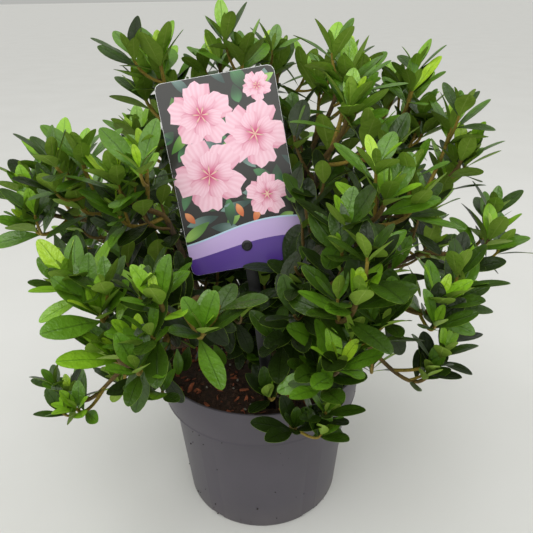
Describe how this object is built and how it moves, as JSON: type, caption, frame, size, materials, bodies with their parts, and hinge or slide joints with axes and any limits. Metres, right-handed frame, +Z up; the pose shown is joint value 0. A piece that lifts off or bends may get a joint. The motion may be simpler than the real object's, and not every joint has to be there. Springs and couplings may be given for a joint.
{
  "type": "potted azalea shrub",
  "caption": "Evergreen azalea shrub in a round nursery pot: branching boughs, whorls of leaves, compost and a picture card on a stake.",
  "frame": {"origin": "middle of the pot's flat underside", "axes": "+Z up along the pot's axis, -Y towards the front, the side that the picture card faces"},
  "size_m": [0.4108, 0.3805, 0.4374],
  "materials": {
    "pot": "moulded polypropylene, satin, taupe grey",
    "compost": "loose moist peat and bark compost",
    "bark": "thin rough bark, olive to brown",
    "leaf": "glossy leaves, yellow green at the tips and dark green inside",
    "card": "printed glossy plastic card",
    "stake": "black moulded plastic"
  },
  "bodies": {
    "root": {"pot": "pot", "compost": "compost", "stem": "bark", "picture_card": "card", "card_stake": "stake", "bough_top_right": "bark", "bough_left": "bark", "bough_front_left": "bark", "bough_left_mid": "bark", "bough_front_right_high": "bark", "bough_right_mid": "bark", "bough_right_out": "bark", "bough_back_right_high": "bark", "bough_back": "bark", "bough_back_left_high": "bark", "bough_low_front": "bark", "bough_low_left": "bark", "bough_top_left": "bark", "bough_left_up": "bark", "bough_front_left_high": "bark", "bough_front_low_left": "bark", "bough_top_front_left": "bark", "bough_top_front_right": "bark", "bough_front_right": "bark", "bough_low_front_right": "bark", "bough_right_up": "bark", "bough_low_right": "bark", "bough_back_top": "bark", "bough_back_right": "bark", "bough_back_left": "bark", "bough_back_low_right": "bark", "bough_back_low_left": "bark", "foliage_top_right": "leaf", "foliage_left": "leaf", "foliage_front_left": "leaf", "foliage_left_mid": "leaf", "foliage_front_right_high": "leaf", "foliage_right_mid": "leaf", "foliage_right_out": "leaf", "foliage_back_right_high": "leaf", "foliage_back": "leaf", "foliage_back_left_high": "leaf", "foliage_low_front": "leaf", "foliage_low_left": "leaf", "foliage_top_left": "leaf", "foliage_left_up": "leaf", "foliage_front_left_high": "leaf", "foliage_front_low_left": "leaf", "foliage_top_front_left": "leaf", "foliage_top_front_right": "leaf", "foliage_front_right": "leaf", "foliage_low_front_right": "leaf", "foliage_right_up": "leaf", "foliage_low_right": "leaf", "foliage_back_top": "leaf", "foliage_back_right": "leaf", "foliage_back_left": "leaf", "foliage_back_low_right": "leaf", "foliage_back_low_left": "leaf"}
  },
  "joints": []
}
